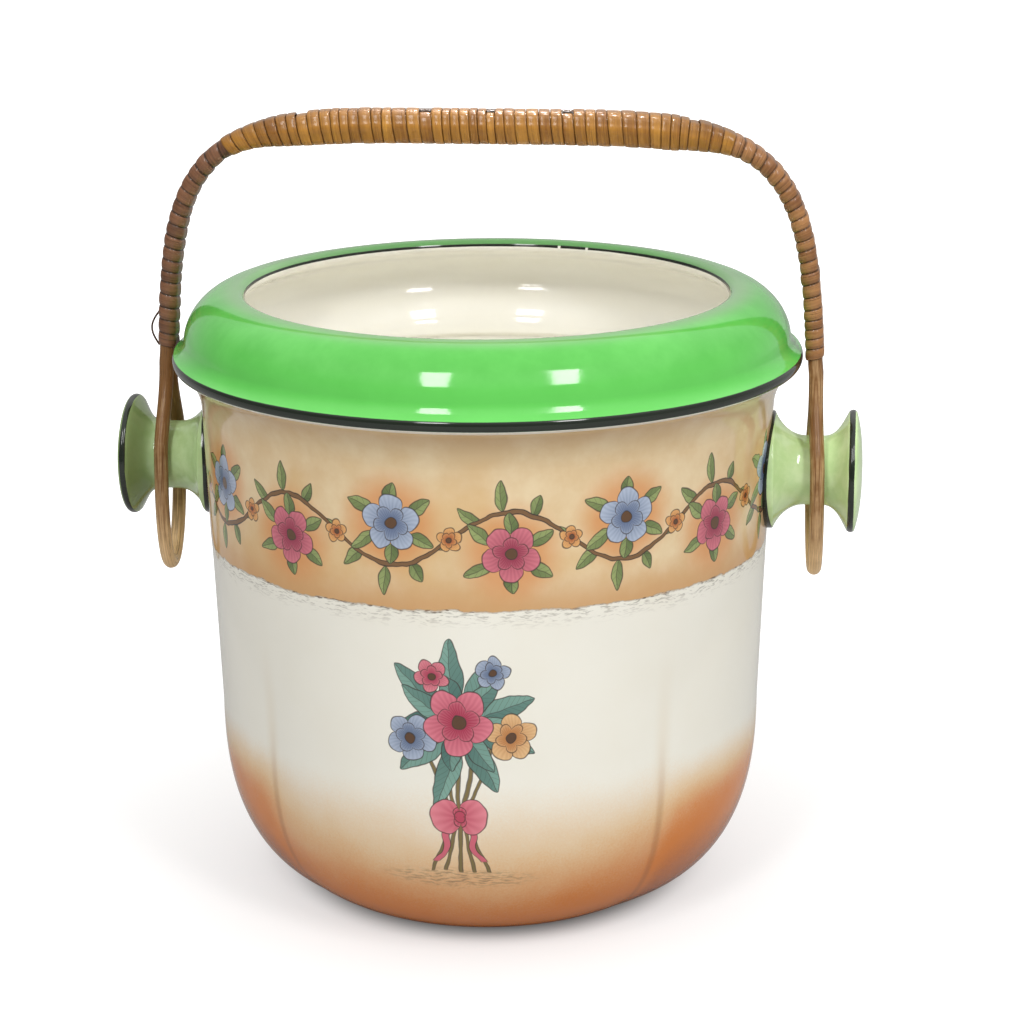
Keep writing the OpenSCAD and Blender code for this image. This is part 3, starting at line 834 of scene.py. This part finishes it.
def cane_material(name, dark, light, pore, sheen, relief, drawn_up=0.0, top_shade=0.0, edge=0.8):
    """Varnished cane between two tones, with fibres along it and a tint of its own for each turn.

    Drawn_up darkens a rod from its loops upwards and paints shade on its left side, top_shade
    darkens the top of the turns as painted shade, and edge is the share of darkening at their
    edges, partly dirt and partly painted shade between the turns.
    """
    made, tree, shader = new_material(name, Specular_IOR_Level=0.3, Coat_Weight=sheen,
                                      Coat_Roughness=0.12)
    tint = attribute(tree, "turn_tint")
    grain = use_group(tree, cane_grain, Along=attribute(tree, "along_mm"),
                      Across=attribute(tree, "across_mm"), Tint=tint)
    at = surface_mm(tree)
    stain = noise(tree, at, 8.0, 3.0, 0.6)
    tone = grain["Fibres"] * 0.45 + tint * 0.4 + stain * 0.6 - 0.22
    if drawn_up:
        x, _, height = parts_of(tree, at)
        # Painted shade: the rods are darker on the left side above the loops
        tone = tone - x.step(100.0, -100.0) * height.step(150.0, 185.0) * 0.2
        tone = tone - height.step(150.0, 215.0) * drawn_up + height.step(172.0, 148.0) * 0.46
        tone = tone + (grain["Fibres"] - 0.5) * 0.35
    color = mix(tree, tone, dark, light)
    color = mix(tree, grain["Pores"] * 0.75, color, pore)
    # Darker edges of the turns: partly dirt, partly painted shade in the gaps between them
    color = mix(tree, attribute(tree, "edge_share").step(0.78, 1.0) * edge, color, pore)
    # Painted shade: the top of each turn is darker, where it faces up
    if top_shade:
        color = mix(tree, attribute(tree, "top_share") * top_shade, color, pore)
    set_inputs(tree, shader, Base_Color=color, Roughness=grain["Fibres"] * 0.18 + 0.36)
    add_bump(tree, shader, grain["Relief"], relief)
    return made


rod_cane = cane_material("cane_rod_varnish", rgb(132, 92, 52), rgb(244, 206, 154), rgb(80, 52, 28),
                         0.1, 0.2, drawn_up=0.45)
bow.data.materials.append(rod_cane)
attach(bow, "bail")
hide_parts("bow_cane")

# Filler canes: two tapered rods that lie under the bow's strands and thicken the grip. They are
# wholly inside the bindings, so the frame's own solids stay, in the same cane.
for node in ("front_filler_cane", "back_filler_cane"):
    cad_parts[node].data.materials.clear()
    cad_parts[node].data.materials.append(rod_cane)

# Grip leader: a dark flat strip along the top of the grip. The binding covers it, but for five
# turns that pass under it.
fill_full = 56.0
grip_from = {-1: 42.5, 1: 45.0}
grip_turns = 47
leader_t = 0.8
leader_w = 5.0
strip_t = 1.0
turns_under = (7, 18, 25, 32, 43)
arch_angles = np.arange(0.0, 180.001, 0.25)
arch_lengths = run_length([bow_at(f) for f in arch_angles])


def arch_length(f):
    return float(np.interp(f, arch_angles, arch_lengths))


def arch_angle(length):
    return float(np.interp(length, arch_lengths, arch_angles))


def uneven_edges(draw, start, end, turns, spread):
    """Places along the arch where each turn of a binding starts, for turns of uneven width."""
    widths = [1 + draw.uniform(-spread, spread) for _ in range(turns + 1)]
    edges = np.concatenate([[0.0], np.cumsum(widths)])
    a, b = arch_length(start), arch_length(end)
    return a + (b - a) * edges / edges[-1]


grip_lap = 1.2
grip_start = 180 - grip_from[-1] + grip_lap
grip_end = grip_from[1] - grip_lap
grip_edges = uneven_edges(random.Random(11), grip_start, grip_end, grip_turns, 0.32)


def over_leader(length):
    """1 where the leader lies over the binding and 0 where under it, at a length of the arch."""
    share = 0.0
    rise_run = 1.4
    for k in turns_under:
        high = grip_edges[k] * 0.75 + grip_edges[k + 1] * 0.25
        low = grip_edges[k + 1] * 0.75 + grip_edges[k + 2] * 0.25
        up = smooth((length - low + rise_run) / rise_run)
        share = max(share, up * smooth((high + rise_run - length) / rise_run))
    return share


leader_rings, leader_along, leader_across = [], [], []
leader_step = 0.7
leader_section = ((-1, 0.3), (-0.8, 1.0), (0.8, 1.0), (1, 0.3), (0.9, 0.0), (-0.9, 0.0))
for length in np.arange(arch_length(fill_full), arch_length(180 - fill_full), leader_step):
    f = arch_angle(length)
    low = cane_r + lie_gap + over_leader(length) * (strip_t + 0.1)
    leader_rings.append([bow_at(f) + (low + h * (leader_t - lie_gap)) * bow_normal(f)
                         + (0, w * leader_w / 2, 0) for w, h in leader_section])
    leader_along += [length] * len(leader_section)
    leader_across += [w * leader_w / 2 for w, h in leader_section]
leader = skin_rings("leader_strip", leader_rings, along_mm=leader_along, across_mm=leader_across,
                    turn_tint=[0.4] * len(leader_along))
dark_cane = cane_material("leader_cane_dark", rgb(46, 32, 22), rgb(96, 66, 40), rgb(30, 20, 14),
                          0.2, 0.1)
leader.data.materials.append(dark_cane)
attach(leader, "bail")
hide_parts("grip_leader")

# Grip binding: one long golden cane strip wound round the grip from bend to bend, flat on top with
# rounded edges and varnished. Its turns differ in width and tint, and five pass under the leader.
fill_from = 40.0
filler_r = 2.6
side_bulge = 0.9


def filler_share(f):
    """Share of its full size that a filler has at f."""
    return smooth((min(f, 180 - f) - fill_from) / (fill_full - fill_from))


def strip_section(half):
    """The whole section of a strip, as (across, up) shares, from its right half."""
    return [(-q, up) for q, up in half[::-1]] + [(0, 1)] + half


flat_strip = strip_section([(0.64, 0.95), (0.91, 0.81), (1, 0.52), (1, 0)])


def round_bundle(f, turn, rise, dip):
    """Point on the outline round the canes at f. Turn 0 is the back, then come top and front."""
    outside = cane_r + filler_share(f) * (leader_t + lie_gap) * (1 - dip)
    inside = -(cane_r + lie_gap + 2 * filler_share(f) * filler_r)
    flat = (outside - inside) / 2 - cane_r
    corner = cane_r + lie_gap
    arc = corner * math.pi / 2
    d = (turn % 1.0) * (4 * arc + 4 * flat + 4 * strand_y)
    reach = corner + rise
    stretches = ((flat, "side", 1, 0.0), (arc, "arc", 1, 0.0), (2 * strand_y, "end", 1, 0.0),
                 (arc, "arc", -1, 0.5), (2 * flat, "side", -1, flat), (arc, "arc", -1, 1.0),
                 (2 * strand_y, "end", -1, 0.0), (arc, "arc", 1, 1.5), (flat, "side", 1, -flat))
    for i, (long, kind, side, start) in enumerate(stretches):
        if d <= long or i == len(stretches) - 1:
            break
        d -= long
    if kind == "side":
        n = start + side * d
        y = side * (strand_y + reach + side_bulge * min(1.0, flat / 3.2) * (1 - (n / flat) ** 2))
    elif kind == "end":
        y = side * (strand_y - d)
        n = side * (flat + reach)
    else:
        a = start * math.pi + d / corner
        y = side * strand_y + reach * math.cos(a)
        n = math.copysign(flat, math.sin(start * math.pi + 0.5)) + reach * math.sin(a)
    return bow_at(f) + ((outside + inside) / 2 + n) * bow_normal(f) + np.array((0.0, y, 0.0))


def winding(name, edges, steps, gap, draw, section, sink=0.0, under=()):
    """A strip wound in uneven turns, whose tint, height and tilt change at the back."""
    turns = len(edges) - 2
    turn_length = 40.0
    tints = [draw.random() for _ in range(turns + 1)]
    rises = [draw.uniform(-0.38, -0.06) - sink for _ in range(turns + 1)]
    tilts = [draw.uniform(-0.08, 0.08) for _ in range(turns + 1)]
    gaps = [gap * draw.uniform(0.3, 1.8) for _ in range(turns + 1)]
    dips = [1.0 if k in under else 0.0 for k in range(turns + 1)]
    rings, along, across, tint, edge, top = [], [], [], [], [], []
    for i in range(turns * steps + 1):
        k = min(i // steps, turns - 1)
        t = i / steps - k
        low = edges[k] + (edges[k + 1] - edges[k]) * t
        high = edges[k + 1] + (edges[k + 2] - edges[k + 1]) * t
        share = smooth((t - 0.82) / 0.18)
        tint_now, rise, tilt, space, dip = (values[k] * (1 - share) + values[k + 1] * share
                                            for values in (tints, rises, tilts, gaps, dips))
        half = (high - low) / 2
        half -= math.copysign(space / 2, half)
        ring = []
        for q, up in section:
            f = arch_angle((low + high) / 2 + q * half)
            ring.append(round_bundle(f, t, up * (strip_t + rise + q * tilt), dip))
            along.append(i * turn_length / steps)
            across.append(q * half)
            tint.append(tint_now)
            edge.append(abs(q))
            top.append(max(0.0, math.sin(2 * math.pi * t)))
        rings.append(ring)
    return skin_rings(name, rings, along_mm=along, across_mm=across, turn_tint=tint,
                      edge_share=edge, top_share=top)


grip = winding("grip_winding", grip_edges, 44, 0.18, random.Random(12), flat_strip,
               under=turns_under)
golden = cane_material("golden_cane_varnish", rgb(122, 73, 22), rgb(199, 141, 54), rgb(84, 50, 20),
                       0.4, 0.10, top_shade=0.5, edge=0.5)
grip.data.materials.append(golden)
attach(grip, "bail")
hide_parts("grip_binding")

# Leg bindings: a brown strip on the left leg and a lighter one on the right, each wound close from
# above the loop up round the bend, with its last turn tucked under the grip binding.
domed_strip = strip_section([(0.5, 0.88), (0.86, 0.52), (1, 0.15), (1, 0)])
tuck = 2.0
brown_tones = rgb(78, 48, 32), rgb(150, 104, 74), rgb(42, 27, 19)
tan_tones = rgb(114, 70, 38), rgb(194, 140, 88), rgb(72, 42, 20)
left_span = 180 - grip_from[-1] - tuck, 180 - wrap_from
right_span = grip_from[1] + tuck, wrap_from
for side, span, turns, seed, node, slot, tones in (
        ("left", left_span, 18, 23, "left_leg_binding", "brown_cane", brown_tones),
        ("right", right_span, 23, 37, "right_leg_binding", "tan_cane", tan_tones)):
    draw = random.Random(seed)
    edges = uneven_edges(draw, *span, turns, 0.2)
    leg = winding("leg_winding_" + side, edges, 36, 0.16, draw, domed_strip, sink=0.15)
    leg.data.materials.append(cane_material(slot + "_varnish", *tones, 0.25, 0.16))
    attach(leg, "bail")
    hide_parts(node)

# Loose end of the left binding: a thin wiry strand of dark cane that bows out beside the leg, with
# both its ends tucked in between the turns.
tail_turn = (grip_from[1] + 1 - wrap_from) / 22
tail_low = 180 - wrap_from - 0.4 * tail_turn
tail_reach = 3.4 * tail_turn
tail_r = 0.45
tail_base = cane_r + 2 * lie_gap + strip_t + lie_gap + tail_r
tail_tuck = 1.2
tail_bow = 3.6
tail_steps = 30
tail_path = []
for i in range(tail_steps + 1):
    f = tail_low - tail_reach * i / tail_steps
    off = tail_base - tail_tuck + tail_bow * math.sin(math.pi * i / tail_steps)
    tail_path.append(bow_at(f) + off * bow_normal(f))
tail = rod("loose_strand", tail_path, lambda i: np.array((0.0, 1.0, 0.0)), tail_r)
tail.data.materials.append(dark_cane)
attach(tail, "bail")
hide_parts("left_binding_tail")

# Floor, light and camera: a white floor that glows for the camera but dims round the jar's foot as
# a painted contact shadow, two tall softboxes above the camera, rolled so that the collar mirrors
# them upright, two narrow lamps that light the inside, and a pale room.
floor_half = 4.0
corner_ways = ((-1, -1), (1, -1), (1, 1), (-1, 1))
floor_corners = [(x * floor_half, y * floor_half, 0) for x, y in corner_ways]
floor_mesh = bpy.data.meshes.new("floor")
floor_mesh.from_pydata(floor_corners, [], [(0, 1, 2, 3)])
floor = add_object("floor", floor_mesh)
white, tree, shader = new_material(
    "floor_white", Base_Color=(0.5, 0.5, 0.5, 1.0), Emission_Color=(1.0, 1.0, 1.0, 1.0),
    Roughness=0.9, Specular_IOR_Level=0.1)
across, back, _ = parts_of(tree, surface_mm(tree))
seen = Field(tree, tree.nodes.new("ShaderNodeLightPath").outputs["Is Camera Ray"])
away = (across * across + back * back) ** 0.5
# Painted contact shadow: the floor's glow for the camera is dimmed within about 100 mm of the jar's
# axis
floor_glow_with_painted_shadow = away.step(71.0, 96.0) * 0.46 + away.step(100.0, 560.0) * 0.5 + 0.04
feed(tree, shader.inputs["Emission Strength"], seen * floor_glow_with_painted_shadow)
floor.data.materials.append(white)

room = bpy.data.worlds.new("room")
room.use_nodes = True
tree = room.node_tree
sky = tree.nodes["Background"]
seen = Field(tree, tree.nodes.new("ShaderNodeLightPath").outputs["Is Camera Ray"])
right, back, up = parts_of(tree, tree.nodes.new("ShaderNodeTexCoord").outputs["Generated"])
glow = up.step(0.3, 0.8) * 0.75 + back.step(0.2, 0.9) * 0.35 + right.step(0.0, 1.0) * 0.2 + 0.2
set_inputs(tree, sky, Color=(1.0, 0.995, 0.985, 1.0), Strength=glow.math("MAXIMUM", seen * 1.05))
bpy.context.scene.world = room
bpy.context.scene.view_settings.view_transform = "Standard"

camera_azimuth = 7.2
camera_drop = 16.2
camera_roll = -0.45
camera_distance = 1.25
aim = np.array((0.0, 0.0, 0.1694))


def way_to(azimuth, height_angle):
    """The way from the jar to a place, by degrees round it from the front and degrees up."""
    a, e = math.radians(azimuth), math.radians(height_angle)
    return np.array((math.sin(a) * math.cos(e), -math.cos(a) * math.cos(e), math.sin(e)))


def point_at(thing, place, target, roll=0.0):
    """Puts a light or camera at a place and turns it to a target, rolled by some degrees."""
    thing.location = place
    thing.rotation_mode = "QUATERNION"
    upright = (Vector(target) - Vector(place)).to_track_quat("-Z", "Y")
    rolled = Matrix.Rotation(math.radians(roll), 4, "Z").to_quaternion()
    thing.rotation_quaternion = upright @ rolled


collar_middle = np.array((0.0, 0.0, 0.22))
softbox_width = 0.29
softbox_length = 0.9
softbox_away = 1.9
softbox_up = 43.0
for name, azimuth, power, roll in (("softbox_left", -15.0, 11.5, 9.4),
                                   ("softbox_right", 40.5, 12.5, -14.8)):
    lamp = bpy.data.lights.new(name, "AREA")
    lamp.shape = "RECTANGLE"
    lamp.size = softbox_width
    lamp.size_y = softbox_length
    lamp.energy = power
    light = add_object(name, lamp)
    softbox_place = collar_middle + softbox_away * way_to(azimuth, softbox_up)
    point_at(light, softbox_place, collar_middle, roll)

mouth_middle = np.array((0.0, 0.0, 0.274))
inside_away = 1.3
inside_blend = 0.25
inside_r = 0.015
for name, azimuth, height_angle, power, spread in (("inside_lamp_top", 0.0, 89.9, 45.0, 8.6),
                                                   ("inside_lamp_back", 187.0, 56.0, 54.0, 7.0)):
    lamp = bpy.data.lights.new(name, "SPOT")
    lamp.energy = power
    lamp.spot_size = math.radians(spread)
    lamp.spot_blend = inside_blend
    lamp.shadow_soft_size = inside_r
    light = add_object(name, lamp)
    point_at(light, mouth_middle + inside_away * way_to(azimuth, height_angle), mouth_middle)

camera = add_object("camera", bpy.data.cameras.new("camera"))
camera_place = aim + camera_distance * way_to(camera_azimuth, camera_drop)
point_at(camera, camera_place, aim, camera_roll)
image_side = 1024
focal_pixels = 2756
shift_pixels = 23.3
sensor_side = 36.0
camera.data.sensor_width = sensor_side
camera.data.lens = focal_pixels / image_side * sensor_side
camera.data.shift_x = shift_pixels / image_side
camera.data.clip_start = 0.05
bpy.context.scene.camera = camera
